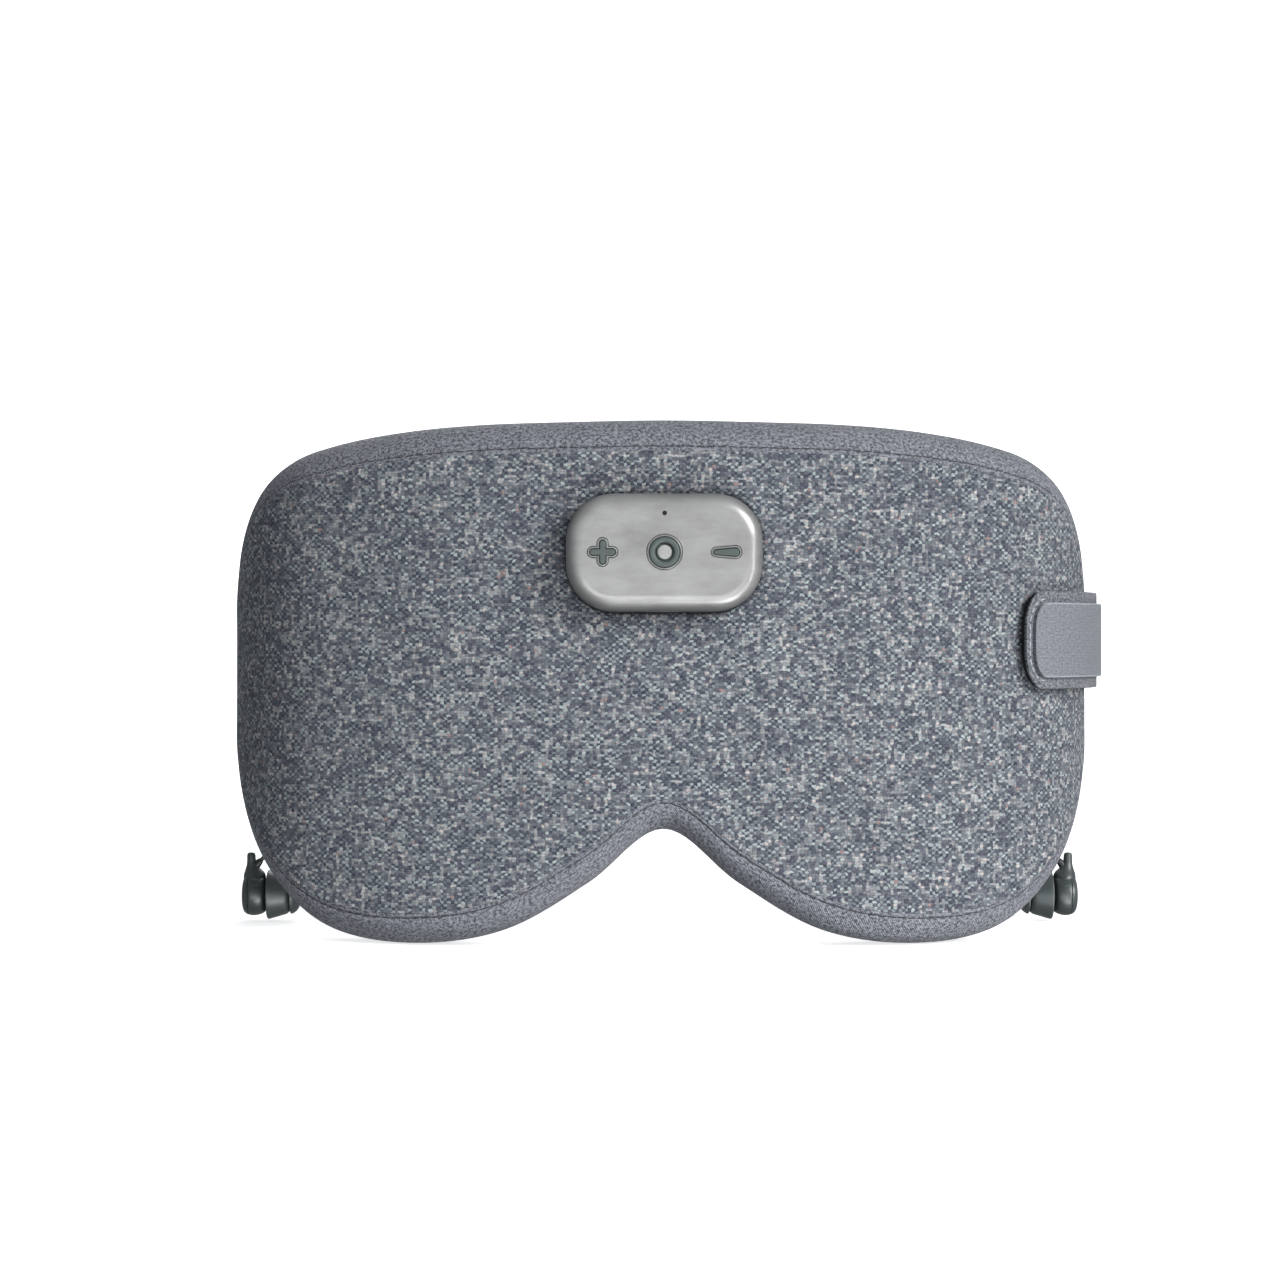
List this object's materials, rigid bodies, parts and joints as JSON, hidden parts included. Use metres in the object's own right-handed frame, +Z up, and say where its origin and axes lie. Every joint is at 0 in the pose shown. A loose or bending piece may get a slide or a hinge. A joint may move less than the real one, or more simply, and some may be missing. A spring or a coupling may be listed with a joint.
{
  "type": "eye massager mask",
  "caption": "Wrap-around padded eye massager mask with a raised three-key control pod, hook-tab head strap and hanging in-ear earbuds.",
  "frame": {"origin": "middle of the face side: the back of the padded shell on the mid-plane, level with the middle of the strap", "axes": "+X to the viewer's right seen from the front, +Y from the front towards the wearer's head, +Z up"},
  "size_m": [0.2182, 0.2314, 0.1228],
  "materials": {
    "melange_fabric": "coarse melange knit",
    "band_fabric": "fine twill binding",
    "lining_fabric": "brushed soft lining",
    "pad_fabric": "smooth padded fabric",
    "foam": "open-cell foam",
    "plate_plastic": "moulded, translucent white",
    "heater": "polyimide film",
    "pod_silver": "satin silver paint",
    "dark_plastic": "fine moulded texture",
    "gasket": "matt",
    "key_rubber": "satin",
    "ring_centre": "speckled",
    "board": "solder mask",
    "battery_foil": "foil pouch",
    "steel": "plain",
    "motor_steel": "drawn can",
    "weight_brass": "sintered",
    "clear_plastic": "moulded",
    "light_guide": "clear rod, dark when off",
    "wire": "insulated",
    "strap_webbing": "elastic webbing",
    "tab_fabric": "fine twill",
    "tab_webbing": "smooth webbing",
    "hook": "hook tape",
    "bud_plastic": "satin",
    "bud_silicone": "soft silicone",
    "cord_rubber": "matt",
    "driver": "plain"
  },
  "bodies": {
    "mask": {"front_cover": "melange_fabric", "rim_band": "band_fabric", "front_foam": "foam", "carrier_plate": "plate_plastic", "spacer_foam": "foam", "rear_foam": "foam", "face_lining": "lining_fabric", "eye_pad_left": "pad_fabric", "eye_pad_right": "pad_fabric", "heating_film_left": "heater", "heating_film_right": "heater", "pod_base": "dark_plastic", "pod_cover": "pod_silver", "pod_gasket": "gasket", "control_board": "board", "battery": "battery_foil", "usb_c_socket": "steel", "status_light_guide": "light_guide", "key_switches": "dark_plastic", "pod_screws": "steel", "motor_capsule_left": "clear_plastic", "motor_capsule_right": "clear_plastic", "motor_can_left": "motor_steel", "motor_can_right": "motor_steel", "wiring_left": "wire", "wiring_right": "wire", "strap_left": "strap_webbing", "strap_back": "strap_webbing", "strap_right": "strap_webbing", "cord_outlet_left": "cord_rubber", "cord_outlet_right": "cord_rubber"},
    "ring_button": {"ring_key": "key_rubber", "ring_key_centre": "ring_centre"},
    "plus_button": {"plus_key": "key_rubber"},
    "minus_button": {"minus_key": "key_rubber"},
    "strap_tab": {"tab_pad": "tab_fabric", "tab_webbing": "tab_webbing", "hook_patch": "hook"},
    "earbud_left": {"bud_housing_left": "bud_plastic", "bud_cap_left": "bud_plastic", "bud_driver_left": "driver", "bud_nozzle_left": "bud_plastic", "ear_tip_left": "bud_silicone", "cord_boot_left": "cord_rubber", "ear_cord_left": "cord_rubber"},
    "motor_rotor_left": {"motor_shaft_left": "steel", "motor_weight_left": "weight_brass"},
    "earbud_right": {"bud_housing_right": "bud_plastic", "bud_cap_right": "bud_plastic", "bud_driver_right": "driver", "bud_nozzle_right": "bud_plastic", "ear_tip_right": "bud_silicone", "cord_boot_right": "cord_rubber", "ear_cord_right": "cord_rubber"},
    "motor_rotor_right": {"motor_shaft_right": "steel", "motor_weight_right": "weight_brass"}
  },
  "joints": [
    {"name": "ring_key_press", "type": "slide", "parent": "mask", "child": "ring_button", "axis": [0, 1, 0], "range_m": [0, 0.0005], "stiffness_N_per_m": 1200},
    {"name": "plus_key_press", "type": "slide", "parent": "mask", "child": "plus_button", "axis": [0, 1, 0], "range_m": [0, 0.0005], "stiffness_N_per_m": 1200},
    {"name": "minus_key_press", "type": "slide", "parent": "mask", "child": "minus_button", "axis": [0, 1, 0], "range_m": [0, 0.0005], "stiffness_N_per_m": 1200},
    {"name": "strap_tab_peel", "type": "hinge", "parent": "mask", "child": "strap_tab", "pos_m": [0.1112, 0.0302, 0], "axis": [0, 0, 1], "range_deg": [0, 45], "stiffness_Nm_per_rad": 0.01},
    {"name": "earbud_left_swing", "type": "hinge", "parent": "mask", "child": "earbud_left", "pos_m": [-0.0998, 0.046, -0.024], "axis": [1, 0, 0], "range_deg": [-25, 25]},
    {"name": "earbud_right_swing", "type": "hinge", "parent": "mask", "child": "earbud_right", "pos_m": [0.0998, 0.046, -0.024], "axis": [1, 0, 0], "range_deg": [-25, 25]},
    {"name": "motor_left_spin", "type": "hinge", "parent": "mask", "child": "motor_rotor_left", "pos_m": [-0.05617, -0.00168, 0], "axis": [0, 0, 1], "continuous": true},
    {"name": "motor_right_spin", "type": "hinge", "parent": "mask", "child": "motor_rotor_right", "pos_m": [0.05617, -0.00168, 0], "axis": [0, 0, 1], "continuous": true}
  ]
}
